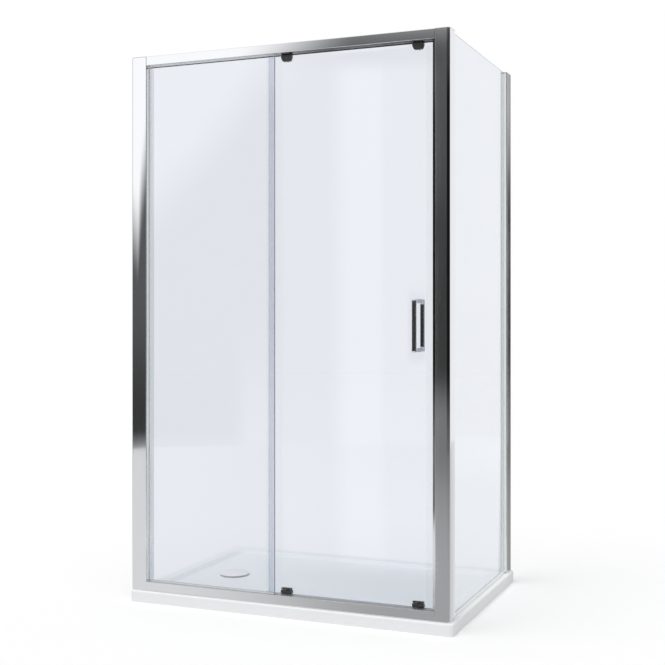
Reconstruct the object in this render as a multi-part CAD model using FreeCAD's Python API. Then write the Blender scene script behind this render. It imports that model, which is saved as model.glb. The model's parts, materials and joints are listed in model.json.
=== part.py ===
import FreeCAD, Part
import math
import os
from FreeCAD import Vector

# Tray
TRAY_WIDTH = 1200.0
TRAY_DEPTH = 800.0
TRAY_HEIGHT = 40.0
TRAY_CORNER_R = 14.0
TRAY_EDGE_R = 5.0
RIM_MARGIN = 6.0
WALL_RIM = 46.0
BASIN_RUN = 18.0
BASIN_DEPTH = 12.0
BASIN_FALL = 6.0
BASIN_CORNER_R = 60.0
BASIN_LIP_R = 4.0

# Waste outlet
WASTE_FROM_END = 200.0
WASTE_FIELD = 150.0
WASTE_HOLE_R = 45.0
WASTE_BORE_R = 40.0
WASTE_TUBE_WALL = 4.0
WASTE_FLANGE_R = 58.0
WASTE_FLANGE_T = 3.0
WASTE_SEAL_T = 1.0
WASTE_SEAT_CLEARANCE = 0.5
WASTE_SEAT_DEPTH = 3.5
WASTE_TUBE_END = 2.0
COVER_R = 56.0
COVER_GAP = 4.0
COVER_RISE = 5.0
COVER_EDGE_T = 2.5
COVER_FOOT_R = 4.0
COVER_FOOT_INSET = 7.0
COVER_FEET = 3

# Frame around the door
FRAME_HEIGHT = 1900.0
FRONT_INSET = 12.0
SIDE_INSET = 12.0
WALL_T = 2.0
FACE_CROWN = 0.5
EDGE_R = 2.0
LIP_R = 0.8
WALL_PROFILE_REACH = 28.0
ADJUSTING_GAP = 2.0
JAMB_HEAD = 30.0
JAMB_CROWN = 1.0
JAMB_WALL_GAP = 2.0
SLIDE_CLEARANCE = 0.2
CLOSING_JAMB_WIDTH = 34.0
CLOSING_GAP = 2.3
POST_WIDTH = 26.0
POST_ROUND_R = 12.0
CLOSING_BEVEL_RUN = 10.0
CLOSING_BEVEL_DEPTH = 6.0
SIDE_PROFILE_WIDTH = 30.0
END_CAP_T = 2.0
END_CAP_PLUG = 10.0
PLUG_CLEARANCE = 0.3

# Rails
RAIL_HEIGHT = 32.0
RAIL_FRONT_BOX = 15.0
RAIL_SETBACK = 1.0
LEDGE_T = 2.0
RIDGE_WIDTH = 3.0
LOW_LIP_HEIGHT = 10.0
PORT_BLOCK = 7.0
COPE_SHARE = 0.8

# Panes and seals
GLASS_T = 6.0
GLASS_EDGE_R = 0.6
GASKET_T = 3.0
GASKET_FLOOR = 2.0
GASKET_PROUD = 1.0
GROOVE_DEPTH = 14.0
PANE_OVERLAP = 34.0
SIDE_PANE_SETBACK = 11.0
SIDE_PANE_TOP_GAP = 2.0
SILL_HEIGHT = 12.0
SILL_FLOOR = 5.0
SILL_CLEARANCE = 0.3
INFILL_T = 4.5
INFILL_CLEARANCE = 0.2
DOOR_WIDTH = 611.0
DOOR_ENTRY = 7.0
DOOR_EDGE_GAP = 14.0
DOOR_OPEN_MARGIN = 17.0
SEAL_T = 1.5
SEAL_CLEARANCE = 0.1
LEADING_SEAL_REACH = 40.0
LEADING_SEAL_WEB = 4.0
LEADING_BULB_R = 2.0
TRAILING_SEAL_REACH = 19.0
TRAILING_SEAL_NOSE = 2.0
FIN_T = 1.5
FIN_CLEARANCE = 0.4
FIN_END_GAP = 34.0
BUFFER_T = 2.2
SLOT_GAP = 0.5

# Rollers
TRAILING_ROLLER_INSET = 72.0
LEADING_ROLLER_INSET = 66.0
WHEEL_THICKNESS = 8.0
WHEEL_GROOVE_PLAY = 0.6
WHEEL_FLANGE = 1.8
FLANGE_CLEARANCE = 2.2
TOP_WHEEL_R = 11.0
LOW_WHEEL_R = 9.5
TREAD_GAP = 0.3
WEB_CLEARANCE = 1.45
WHEEL_PLATE_GAP = 0.5
TOP_WHEEL_SPACING = 25.0
AXLE_R = 2.5
AXLE_RUNNING_CLEARANCE = 0.05
AXLE_SEAT_CLEARANCE = 0.02
AXLE_HEAD_R = 4.0
AXLE_HEAD_T = 1.4
AXLE_END_PLAY = 0.15
PLATE_T = 3.0
PLATE_LEDGE_GAP = 1.0
TOP_PLATE_WIDTH = 44.0
TOP_BLOCK_WIDTH = 38.0
TOP_BLOCK_FOOT = 27.0
LOW_BLOCK_WIDTH = 40.0
BLOCK_WEB_GAP = 1.0
BLOCK_RAIL_GAP = 1.5
TOP_BLOCK_HEIGHT = 21.0
TOP_BLOCK_TAPER = 11.0
TOP_PLATE_MARGIN = 9.0
LOW_BLOCK_HEIGHT = 10.0
BLOCK_EDGE_R = 1.2
BOLT_R = 3.0
BOLT_CLEARANCE = 0.1
BOLT_HEAD_R = 4.0
BOLT_HEAD_T = 4.0
BOLT_HEAD_SINK = 0.5
BOLT_DRIVE_R = 2.0
GLASS_HOLE_R = 6.0
BUSH_CLEARANCE = 0.2
PAD_T = 0.5
PAD_R = 9.5
CAP_R = 10.0
CAP_T = 5.5
CAP_SOCKET = 4.0

# Release of the lower rollers
RELEASE_TRAVEL = 3.5
BUTTON_T = 3.0
BUTTON_GAP = 0.5
BUTTON_INSET = 1.0
LEG_WIDTH = 6.0
LEG_CENTRE = 14.0
LEG_CLEARANCE = 0.2
CARRIER_RISE = 9.0
SPRING_CENTRE = 12.5
SPRING_R = 2.9
SPRING_WIRE_R = 0.4
SPRING_TURNS = 5
SPRING_POCKET_R = 3.7
SPRING_FLOOR = 3.5
SPRING_POCKET_WALL = 1.3
SPRING_END_GAP = 0.2

# Handles
HANDLE_INSET = 69.0
HANDLE_HEIGHT = 947.0
HANDLE_LENGTH = 172.0
HANDLE_GRIP_T = 10.0
HANDLE_WIDTH = 14.0
HANDLE_ARM = 12.0
HANDLE_REACH = 45.0
HANDLE_OUTER_R = 4.0
HANDLE_INNER_R = 4.0
HANDLE_EDGE_R = 2.0
HANDLE_PAD_R = 6.8
STUD_REACH = 9.0

# Screws
SCREW_R = 2.0
SCREW_CLEARANCE = 0.1
SCREW_HEAD_R = 3.0
SCREW_HEAD_T = 2.4
SCREW_LENGTH = 30.0
SHORT_SCREW_LENGTH = 8.0
SCREW_CAP_R = 6.0
SCREW_CAP_T = 3.6
SCREW_CAP_GAP = 0.3
WALL_HOLE_R = 3.0
WALL_HOLE_OUTER = 150.0
WALL_HOLE_INNER = 650.0
CLAMP_END = 250.0
POST_SCREW_END = 200.0
POST_SCREW_SETBACK = 20.0
ACCESS_HOLE_R = 5.0
TRACK_STOP_LENGTH = 20.0
TRACK_STOP_GAP = 1.0

# Levels and lines that the pieces share
GROOVE = GLASS_T + 2 * GASKET_T
GROOVE_START = RAIL_FRONT_BOX
GROOVE_END = GROOVE_START + GROOVE
GROOVE_FLOOR = RAIL_HEIGHT / 2
FIXED_PANE_SETBACK = GROOVE_START + GASKET_T
WEB_END = GROOVE_END + WALL_T
WHEEL_FRONT = WEB_END + WEB_CLEARANCE + AXLE_HEAD_T + AXLE_END_PLAY
WHEEL_BACK = WHEEL_FRONT + WHEEL_THICKNESS
RIDGE_MIDDLE = (WHEEL_FRONT + WHEEL_BACK) / 2
RIDGE_HEIGHT = WHEEL_FLANGE + FLANGE_CLEARANCE
RIDGE_CREST = RAIL_HEIGHT - LEDGE_T - RIDGE_HEIGHT
PLATE_FRONT = WHEEL_BACK + WHEEL_PLATE_GAP
PLATE_BACK = PLATE_FRONT + PLATE_T
LEDGE_END = PLATE_FRONT - PLATE_LEDGE_GAP
DOOR_SETBACK = PLATE_BACK + PAD_T
DOOR_BACK = DOOR_SETBACK + GLASS_T
SLOT_START = DOOR_SETBACK - SEAL_T - SLOT_GAP
SLOT_END = DOOR_BACK + SEAL_T + SLOT_GAP
FRAME_DEPTH = SLOT_END + WALL_T
PORT_LOW = RAIL_HEIGHT / 4
PORT_HIGH = RAIL_HEIGHT - PORT_LOW
LEADING_NOSE_R = GLASS_T / 2 + SEAL_T
CLOSING_SLOT_DEPTH = DOOR_ENTRY + LEADING_SEAL_WEB + LEADING_NOSE_R + CLOSING_GAP + BUFFER_T
Y_FRONT = FRONT_INSET - TRAY_DEPTH / 2
Y_WALL = TRAY_DEPTH / 2
X_WALL = -TRAY_WIDTH / 2
X_OUT = TRAY_WIDTH / 2 - SIDE_INSET
Z_LOW = TRAY_HEIGHT
Z_TOP = TRAY_HEIGHT + FRAME_HEIGHT
LOW_WALL_HOLES = (WALL_HOLE_OUTER, WALL_HOLE_INNER)
WALL_HOLE_HEIGHTS = LOW_WALL_HOLES + tuple(FRAME_HEIGHT - h for h in LOW_WALL_HOLES)
CLAMP_HEIGHTS = (CLAMP_END, FRAME_HEIGHT / 2, FRAME_HEIGHT - CLAMP_END)
POST_SCREW_HEIGHTS = (POST_SCREW_END, FRAME_HEIGHT / 2, FRAME_HEIGHT - POST_SCREW_END)
HEAD_START = WALL_PROFILE_REACH + ADJUSTING_GAP
HEAD_END = HEAD_START + JAMB_HEAD
X_LEFT = X_WALL + HEAD_END
X_POST = X_OUT - POST_WIDTH
X_CLOSE = X_POST - CLOSING_JAMB_WIDTH
X_LEAD = X_CLOSE + DOOR_ENTRY
X_TRAIL = X_LEAD - DOOR_WIDTH
X_FIXED_EDGE = X_TRAIL + PANE_OVERLAP
PANE_EDGE = GROOVE_FLOOR + GASKET_FLOOR
X_ROLLERS = (X_TRAIL + TRAILING_ROLLER_INSET, X_LEAD - LEADING_ROLLER_INSET)
DOOR_TRAVEL = X_TRAIL - TRAILING_SEAL_NOSE - X_LEFT - DOOR_OPEN_MARGIN
TOP_TREAD_R = TOP_WHEEL_R - WHEEL_FLANGE
LOW_TREAD_R = LOW_WHEEL_R - WHEEL_FLANGE
TOP_AXLE = RIDGE_CREST - TOP_TREAD_R - TREAD_GAP
LOW_AXLE = RIDGE_CREST - LOW_TREAD_R - TREAD_GAP
BLOCK_FRONT = WEB_END + BLOCK_WEB_GAP
BLOCK_START = RAIL_HEIGHT + BLOCK_RAIL_GAP
TOP_BLOCK_END = BLOCK_START + TOP_BLOCK_HEIGHT
TOP_BOLT = BLOCK_START + TOP_BLOCK_HEIGHT / 2
LOW_BLOCK_END = BLOCK_START + LOW_BLOCK_HEIGHT
LOW_BOLT = BLOCK_START + LOW_BLOCK_HEIGHT / 2
BUTTON_START = LOW_BLOCK_END + RELEASE_TRAVEL + BUTTON_GAP
LEG_BACK = PLATE_BACK - LEG_CLEARANCE
LEG_FRONT = PLATE_FRONT
SPRING_SETBACK = BLOCK_FRONT + SPRING_POCKET_WALL + SPRING_POCKET_R
X_HANDLE = X_LEAD - HANDLE_INSET
Z_HANDLE = Z_LOW + HANDLE_HEIGHT
STUD_HEIGHTS = (Z_HANDLE - (HANDLE_LENGTH - HANDLE_ARM) / 2, Z_HANDLE + (HANDLE_LENGTH - HANDLE_ARM) / 2)
RIM_FRONT = FRONT_INSET + FRAME_DEPTH + RIM_MARGIN
RIM_RIGHT = RIM_FRONT
X_WASTE = X_WALL + WASTE_FROM_END
Y_WASTE = (RIM_FRONT - WALL_RIM) / 2
Z_FLOOR = TRAY_HEIGHT - BASIN_DEPTH - BASIN_FALL
SIDE_GROOVE_START = SIDE_PANE_SETBACK - GASKET_T
SIDE_GROOVE_END = SIDE_GROOVE_START + GROOVE
X_SIDE_PANE = X_OUT - SIDE_PANE_SETBACK - GLASS_T
Y_POST_GROOVE = Y_FRONT + FRAME_DEPTH - GROOVE_DEPTH
Y_SIDE_HEAD = Y_WALL - HEAD_END


def box(x0, x1, y0, y1, z0, z1):
    return Part.makeBox(x1 - x0, y1 - y0, z1 - z0, Vector(x0, y0, z0))


def rod(radius, start, end):
    along = end - start
    return Part.makeCylinder(radius, along.Length, start, along)


def rod_x(radius, x0, x1, y, z):
    return rod(radius, Vector(x0, y, z), Vector(x1, y, z))


def rod_y(radius, u0, u1, x, z):
    return rod(radius, Vector(x, Y_FRONT + u0, z), Vector(x, Y_FRONT + u1, z))


def joined(solids):
    return solids[0].fuse(solids[1:]).removeSplitter()


def group(solids):
    return Part.Compound(solids)


def export(name, shape):
    shape.exportStep("parts/%s.step" % name)


# Direction in which an edge leaves a corner, straight or bowed through a point
def leaving(points, i, step):
    here = Vector(points[i][0], points[i][1], 0)
    near = points[(i + step) % len(points)]
    way = Vector(near[0], near[1], 0) - here
    if len(near) < 3 or near[2] != "via":
        return way.normalize()
    far = points[(i + 2 * step) % len(points)]
    chord = Vector(far[0], far[1], 0) - here
    return (way / way.Length ** 2 - chord / chord.Length ** 2).normalize()


# Closed outlines: a third value rounds the corner, or bows the edge through the point
def corner(points, i):
    here = Vector(points[i][0], points[i][1], 0)
    radius = points[i][2] if len(points[i]) > 2 else 0
    if radius == "via":
        return ("via", here, here)
    if not radius:
        return ("sharp", here, here)
    before = leaving(points, i, -1)
    after = leaving(points, i, 1)
    half = before.getAngle(after) / 2
    bisector = (before + after).normalize()
    reach = radius / math.tan(half)
    middle = here + bisector * (radius / math.sin(half) - radius)
    return (middle, here + before * reach, here + after * reach)


def outline(points, place):
    corners = [corner(points, i) for i in range(len(points))]
    edges = []
    for i, (kind, start, end) in enumerate(corners):
        if kind == "via":
            continue
        if kind != "sharp":
            edges.append(Part.Arc(place(start), place(kind), place(end)).toShape())
        following = corners[(i + 1) % len(corners)]
        if following[0] == "via":
            target = corners[(i + 2) % len(corners)][1]
            edges.append(Part.Arc(place(end), place(following[1]), place(target)).toShape())
        elif (following[1] - end).Length > 1e-6:
            edges.append(Part.LineSegment(place(end), place(following[1])).toShape())
    return Part.Wire(edges)


def rectangle(a0, a1, b0, b1):
    return [(a0, b0), (a1, b0), (a1, b1), (a0, b1)]


def extrusion(outer, hollows, place, along):
    wires = [outline(outer, place)] + [outline(h, place) for h in hollows]
    face = Part.makeFace(wires, "Part::FaceMakerCheese")
    return face.extrude(along)


# Directions in which sections are placed
def front_upright(z):
    return lambda p: Vector(p.x, Y_FRONT + p.y, z)


def left_upright(z):
    return lambda p: Vector(X_WALL + p.x, Y_FRONT + p.y, z)


def rear_upright(z):
    return lambda p: Vector(X_OUT - p.y, Y_WALL - p.x, z)


def low_rail(x):
    return lambda p: Vector(x, Y_FRONT + p.x, Z_LOW + p.y)


def high_rail(x):
    return lambda p: Vector(x, Y_FRONT + p.x, Z_TOP - p.y)


def low_face(x, u):
    return lambda p: Vector(x + p.x, Y_FRONT + u, Z_LOW + p.y)


def high_face(x, u):
    return lambda p: Vector(x + p.x, Y_FRONT + u, Z_TOP - p.y)


# Tray and waste
def rounded_wire(x0, x1, y0, y1, radius, z):
    points = [(x0, y0, radius), (x1, y0, radius), (x1, y1, radius), (x0, y1, radius)]
    return outline(points, lambda p: Vector(p.x, p.y, z))


def basin():
    x0 = X_WALL + WALL_RIM
    x1 = TRAY_WIDTH / 2 - RIM_RIGHT
    y0 = -TRAY_DEPTH / 2 + RIM_FRONT
    y1 = TRAY_DEPTH / 2 - WALL_RIM
    run = BASIN_RUN
    half = WASTE_FIELD / 2
    z_foot = TRAY_HEIGHT - BASIN_DEPTH
    wires = [
        rounded_wire(x0, x1, y0, y1, BASIN_CORNER_R, TRAY_HEIGHT + 1),
        rounded_wire(x0, x1, y0, y1, BASIN_CORNER_R, TRAY_HEIGHT),
        rounded_wire(x0 + run, x1 - run, y0 + run, y1 - run, BASIN_CORNER_R - run, z_foot),
        rounded_wire(X_WASTE - half, X_WASTE + half, Y_WASTE - half, Y_WASTE + half, half / 2, Z_FLOOR),
    ]
    return Part.makeLoft(wires, True, True)


def level_edges(shape, z):
    return [e for e in shape.Edges if e.BoundBox.ZMin > z - 1e-4 and e.BoundBox.ZMax < z + 1e-4]


def waste_rod(radius, z0, z1):
    return rod(radius, Vector(X_WASTE, Y_WASTE, z0), Vector(X_WASTE, Y_WASTE, z1))


def shower_tray():
    half_w = TRAY_WIDTH / 2
    half_d = TRAY_DEPTH / 2
    plan = rounded_wire(-half_w, half_w, -half_d, half_d, TRAY_CORNER_R, 0)
    slab = Part.Face(plan).extrude(Vector(0, 0, TRAY_HEIGHT))
    slab = slab.makeFillet(TRAY_EDGE_R, level_edges(slab, TRAY_HEIGHT))
    tray = slab.cut(basin())
    inner = [e for e in level_edges(tray, TRAY_HEIGHT) if abs(e.CenterOfMass.x) < half_w - WALL_RIM + 1]
    inner = [e for e in inner if abs(e.CenterOfMass.y) < half_d - WALL_RIM + 1]
    tray = tray.makeFillet(BASIN_LIP_R, inner)
    tray = tray.cut(waste_rod(WASTE_HOLE_R, -1, TRAY_HEIGHT))
    return tray.cut(waste_rod(WASTE_FLANGE_R + WASTE_SEAT_CLEARANCE, Z_SEAT, TRAY_HEIGHT))


Z_SEAT = Z_FLOOR - WASTE_SEAT_DEPTH
Z_FLANGE = Z_SEAT + WASTE_SEAL_T
Z_FLANGE_TOP = Z_FLANGE + WASTE_FLANGE_T


def waste_seal():
    return waste_rod(WASTE_FLANGE_R, Z_SEAT, Z_FLANGE).cut(waste_rod(WASTE_HOLE_R, Z_SEAT, Z_FLANGE))


def waste_flange():
    tube_r = WASTE_BORE_R + WASTE_TUBE_WALL
    flange = waste_rod(WASTE_FLANGE_R, Z_FLANGE, Z_FLANGE_TOP)
    tube = waste_rod(tube_r, WASTE_TUBE_END, Z_FLANGE_TOP)
    return joined([flange, tube]).cut(waste_rod(WASTE_BORE_R, 0, TRAY_HEIGHT))


def waste_cover():
    low = Z_FLANGE_TOP + COVER_GAP
    top = low + COVER_EDGE_T + COVER_RISE
    ball_r = (COVER_R ** 2 + COVER_RISE ** 2) / (2 * COVER_RISE)
    centre = Vector(X_WASTE, Y_WASTE, 0)
    ball = Part.makeSphere(ball_r, centre + Vector(0, 0, top - ball_r))
    dome = waste_rod(COVER_R, low, top).common(ball)
    feet = []
    for k in range(COVER_FEET):
        turn = 2 * math.pi * k / COVER_FEET
        reach = COVER_R - COVER_FOOT_INSET
        foot = centre + Vector(reach * math.cos(turn), reach * math.sin(turn), Z_FLANGE_TOP)
        feet.append(rod(COVER_FOOT_R, foot, foot + Vector(0, 0, COVER_GAP + COVER_EDGE_T / 2)))
    return joined([dome] + feet)


# Wall profiles and the bowed jambs that slide over them
def wall_profile_points(width):
    reach = WALL_PROFILE_REACH
    front = JAMB_CROWN + WALL_T + SLIDE_CLEARANCE
    back = width - WALL_T - SLIDE_CLEARANCE
    return [
        (0, front, LIP_R), (reach, front, LIP_R), (reach, front + WALL_T), (WALL_T, front + WALL_T),
        (WALL_T, back - WALL_T), (reach, back - WALL_T), (reach, back, LIP_R), (0, back, LIP_R),
    ]


def wall_profile(width, place_at, height):
    return extrusion(wall_profile_points(width), [], place_at(Z_LOW), Vector(0, 0, height))


def crowned_face():
    return [
        (JAMB_WALL_GAP, JAMB_CROWN, EDGE_R), ((JAMB_WALL_GAP + HEAD_END) / 2, 0, "via"),
        (HEAD_END, JAMB_CROWN, EDGE_R),
    ]


def flat_face():
    return [(JAMB_WALL_GAP, 0, EDGE_R), (HEAD_END, 0, EDGE_R)]


def jamb_points(face, width, groove):
    return face + [
        (HEAD_END, groove), (HEAD_END - GROOVE_DEPTH, groove),
        (HEAD_END - GROOVE_DEPTH, groove + GROOVE), (HEAD_END, groove + GROOVE),
        (HEAD_END, width, LIP_R), (JAMB_WALL_GAP, width, LIP_R), (JAMB_WALL_GAP, width - WALL_T),
        (HEAD_START, width - WALL_T), (HEAD_START, JAMB_CROWN + WALL_T),
        (JAMB_WALL_GAP, JAMB_CROWN + WALL_T),
    ]


def jamb_hollows(width, groove):
    low = HEAD_START + WALL_T
    high = HEAD_END - WALL_T
    return [
        rectangle(low, high, WALL_T + JAMB_CROWN, groove - WALL_T),
        rectangle(low, HEAD_END - GROOVE_DEPTH - WALL_T, groove, groove + GROOVE),
        rectangle(low, high, groove + GROOVE + WALL_T, width - WALL_T),
    ]


UPRIGHT = FRAME_HEIGHT - END_CAP_T


def left_wall_profile():
    body = wall_profile(FRAME_DEPTH, left_upright, UPRIGHT)
    holes = [rod_x(WALL_HOLE_R, X_WALL - 1, X_WALL + WALL_T + 1, Y_FRONT + FRAME_DEPTH / 2, Z_LOW + h)
             for h in WALL_HOLE_HEIGHTS]
    clamps = [left_clamp_rod(SCREW_R + SCREW_CLEARANCE, 0, SHORT_SCREW_LENGTH, h) for h in CLAMP_HEIGHTS]
    return body.cut(holes + clamps)


def side_wall_profile():
    body = wall_profile(SIDE_PROFILE_WIDTH, rear_upright, UPRIGHT)
    x = X_OUT - SIDE_PROFILE_WIDTH / 2
    holes = [rod(WALL_HOLE_R, Vector(x, Y_WALL - WALL_T - 1, Z_LOW + h), Vector(x, Y_WALL + 1, Z_LOW + h))
             for h in WALL_HOLE_HEIGHTS]
    clamps = [side_clamp_rod(SCREW_R + SCREW_CLEARANCE, 0, SHORT_SCREW_LENGTH, h) for h in CLAMP_HEIGHTS]
    return body.cut(holes + clamps)


CLAMP_FROM_WALL = (JAMB_WALL_GAP + WALL_PROFILE_REACH) / 2


# Rods across the clamped flanges, measured inwards from the shower-side face
def left_clamp_rod(radius, d0, d1, height):
    return rod_y(radius, FRAME_DEPTH - d0, FRAME_DEPTH - d1, X_WALL + CLAMP_FROM_WALL, Z_LOW + height)


def side_clamp_rod(radius, d0, d1, height):
    x = X_OUT - SIDE_PROFILE_WIDTH
    return rod_x(radius, x + d0, x + d1, Y_WALL - CLAMP_FROM_WALL, Z_LOW + height)


def left_jamb():
    body = extrusion(jamb_points(crowned_face(), FRAME_DEPTH, GROOVE_START),
                     jamb_hollows(FRAME_DEPTH, GROOVE_START),
                     left_upright(Z_LOW), Vector(0, 0, UPRIGHT))
    ports = [rod_x(SCREW_R + SCREW_CLEARANCE, X_LEFT - WALL_T - 1, X_LEFT + 1, y, z)
             for y, z in port_spots()]
    clamps = [left_clamp_rod(SCREW_R + SCREW_CLEARANCE, -1, WALL_T + 1, h) for h in CLAMP_HEIGHTS]
    return body.cut(ports + clamps)


def side_jamb():
    body = extrusion(jamb_points(flat_face(), SIDE_PROFILE_WIDTH, SIDE_GROOVE_START),
                     jamb_hollows(SIDE_PROFILE_WIDTH, SIDE_GROOVE_START),
                     rear_upright(Z_LOW), Vector(0, 0, UPRIGHT))
    clamps = [side_clamp_rod(SCREW_R + SCREW_CLEARANCE, -1, WALL_T + 1, h) for h in CLAMP_HEIGHTS]
    return body.cut(clamps)


# Screw ports in the hollow front of the rails
PORT_SETBACK = GROOVE_START - WALL_T - SCREW_HEAD_R - SCREW_CLEARANCE


# Bevelled edge of the closing jamb, and the same edge a given depth inside it
def closing_bevel(inside=0.0):
    lean = math.atan2(CLOSING_BEVEL_RUN, CLOSING_BEVEL_DEPTH)
    back = inside * math.tan(lean / 2)
    along = inside * math.tan((math.pi / 2 - lean) / 2)
    start = (X_CLOSE + inside, FACE_CROWN + CLOSING_BEVEL_DEPTH + back)
    end = (X_CLOSE + CLOSING_BEVEL_RUN + along, FACE_CROWN + inside)
    return start, end


# Plane inside the closing jamb that clears its bevelled wall behind the screw heads
def closing_seat():
    start, _ = closing_bevel(WALL_T)
    rise = max(0, start[1] - PORT_SETBACK + SCREW_HEAD_R)
    return start[0] + rise * CLOSING_BEVEL_RUN / CLOSING_BEVEL_DEPTH + SCREW_CLEARANCE


def port_spots():
    y = Y_FRONT + PORT_SETBACK
    return [(y, Z_LOW + PORT_LOW), (y, Z_LOW + PORT_HIGH), (y, Z_TOP - PORT_LOW), (y, Z_TOP - PORT_HIGH)]


# Closing jamb and corner post
def closing_face():
    start, end = closing_bevel()
    return [(*start, LIP_R), (*end, LIP_R), (X_POST, FACE_CROWN), (X_POST, FRAME_DEPTH)]


def closing_envelope():
    points = closing_face() + [(X_CLOSE, FRAME_DEPTH)]
    return extrusion(points, [], front_upright(Z_LOW), Vector(0, 0, FRAME_HEIGHT))


def right_jamb():
    slot_floor = X_CLOSE + CLOSING_SLOT_DEPTH
    points = closing_face() + [
        (X_CLOSE, FRAME_DEPTH, LIP_R), (X_CLOSE, SLOT_END),
        (slot_floor, SLOT_END), (slot_floor, SLOT_START), (X_CLOSE, SLOT_START),
    ]
    x0 = X_CLOSE + WALL_T
    x1 = X_POST - WALL_T
    u0 = WALL_T + FACE_CROWN
    u1 = SLOT_START - WALL_T
    hollows = [
        [*closing_bevel(WALL_T), (x1, u0), (x1, u1), (x0, u1)],
        rectangle(slot_floor + WALL_T, x1, SLOT_START, SLOT_END),
    ]
    body = extrusion(points, hollows, front_upright(Z_LOW), Vector(0, 0, UPRIGHT))
    radius = SCREW_R + SCREW_CLEARANCE
    ports = [rod_x(radius, X_CLOSE - 1, closing_seat() + 1, y, z) for y, z in port_spots()]
    y = Y_FRONT + POST_SCREW_SETBACK
    joints = [rod_x(radius, X_POST - WALL_T - 1, X_POST + 1, y, Z_LOW + h) for h in POST_SCREW_HEIGHTS]
    access = [rod_x(ACCESS_HOLE_R, X_CLOSE - 1, X_CLOSE + WALL_T + 1, y, Z_LOW + h)
              for h in POST_SCREW_HEIGHTS]
    return body.cut(ports + joints + access)


def corner_post():
    groove0 = X_OUT - SIDE_GROOVE_END
    groove1 = X_OUT - SIDE_GROOVE_START
    floor = FRAME_DEPTH - GROOVE_DEPTH
    points = [
        (X_POST, FACE_CROWN), (X_OUT, FACE_CROWN, POST_ROUND_R), (X_OUT, FRAME_DEPTH, LIP_R),
        (groove1, FRAME_DEPTH), (groove1, floor), (groove0, floor), (groove0, FRAME_DEPTH),
        (X_POST, FRAME_DEPTH),
    ]
    inner_r = POST_ROUND_R - WALL_T
    hollow = [
        (X_POST + WALL_T, FACE_CROWN + WALL_T), (X_OUT - WALL_T, FACE_CROWN + WALL_T, inner_r),
        (X_OUT - WALL_T, floor - WALL_T), (X_POST + WALL_T, floor - WALL_T),
    ]
    body = extrusion(points, [hollow], front_upright(Z_LOW), Vector(0, 0, UPRIGHT))
    y = Y_FRONT + POST_SCREW_SETBACK
    joints = [rod_x(SCREW_R + SCREW_CLEARANCE, X_POST - 1, X_POST + WALL_T + 1, y, Z_LOW + h)
              for h in POST_SCREW_HEIGHTS]
    return body.cut(joints)


# End caps with plugs that enter the hollow uprights
def plug(x0, x1, y0, y1):
    c = PLUG_CLEARANCE
    z = Z_TOP - END_CAP_T
    return box(x0 + c, x1 - c, y0 + c, y1 - c, z - END_CAP_PLUG, z + END_CAP_T / 2)


def cap_plate(points, place_at):
    return extrusion(points, [], place_at(Z_TOP - END_CAP_T), Vector(0, 0, END_CAP_T))


def left_end_cap():
    points = crowned_face() + [(HEAD_END, FRAME_DEPTH, LIP_R), (JAMB_WALL_GAP, FRAME_DEPTH, LIP_R)]
    plate = cap_plate(points, left_upright)
    low, _, high, _ = jamb_hollows(FRAME_DEPTH, GROOVE_START)[2]
    stub = plug(X_WALL + low[0], X_WALL + high[0], Y_FRONT + low[1], Y_FRONT + high[1])
    return joined([plate, stub])


def corner_end_cap():
    start, end = closing_bevel()
    points = [
        (*start, LIP_R), (*end, LIP_R), (X_OUT, FACE_CROWN, POST_ROUND_R),
        (X_OUT, FRAME_DEPTH, LIP_R), (X_CLOSE, FRAME_DEPTH, LIP_R),
    ]
    plate = cap_plate(points, front_upright)
    stub = plug(X_CLOSE + WALL_T, X_POST - WALL_T, Y_FRONT + GROOVE_START, Y_FRONT + SLOT_START - WALL_T)
    return joined([plate, stub])


def side_end_cap():
    width = SIDE_PROFILE_WIDTH
    points = flat_face() + [(HEAD_END, width, LIP_R), (JAMB_WALL_GAP, width, LIP_R)]
    plate = cap_plate(points, rear_upright)
    low, _, high, _ = jamb_hollows(width, SIDE_GROOVE_START)[2]
    stub = plug(X_OUT - high[1], X_OUT - low[1], Y_WALL - high[0], Y_WALL - low[0])
    return joined([plate, stub])


# Rails: depth behind the front face, then distance in from the outer edge
def rail_points(lip):
    half = RIDGE_WIDTH / 2
    under = RAIL_HEIGHT - LEDGE_T
    return [
        (RAIL_SETBACK, 0, EDGE_R), (RAIL_SETBACK, RAIL_HEIGHT, LIP_R), (GROOVE_START, RAIL_HEIGHT, LIP_R),
        (GROOVE_START, GROOVE_FLOOR), (GROOVE_END, GROOVE_FLOOR), (GROOVE_END, RAIL_HEIGHT, LIP_R),
        (LEDGE_END, RAIL_HEIGHT, LIP_R), (LEDGE_END, under),
        (RIDGE_MIDDLE + half, under), (RIDGE_MIDDLE + half, RIDGE_CREST, LIP_R),
        (RIDGE_MIDDLE - half, RIDGE_CREST, LIP_R), (RIDGE_MIDDLE - half, under), (WEB_END, under),
        (WEB_END, WALL_T), (FRAME_DEPTH - WALL_T, WALL_T), (FRAME_DEPTH - WALL_T, lip),
        (FRAME_DEPTH, lip, LIP_R), (FRAME_DEPTH, 0, LIP_R),
    ]


def rail_hollows():
    inner = GROOVE_START - WALL_T
    half = PORT_BLOCK / 2
    return [
        rectangle(RAIL_SETBACK + WALL_T, inner, PORT_LOW + half, PORT_HIGH - half),
        rectangle(GROOVE_START, GROOVE_END, WALL_T, GROOVE_FLOOR - WALL_T),
    ]


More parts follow.
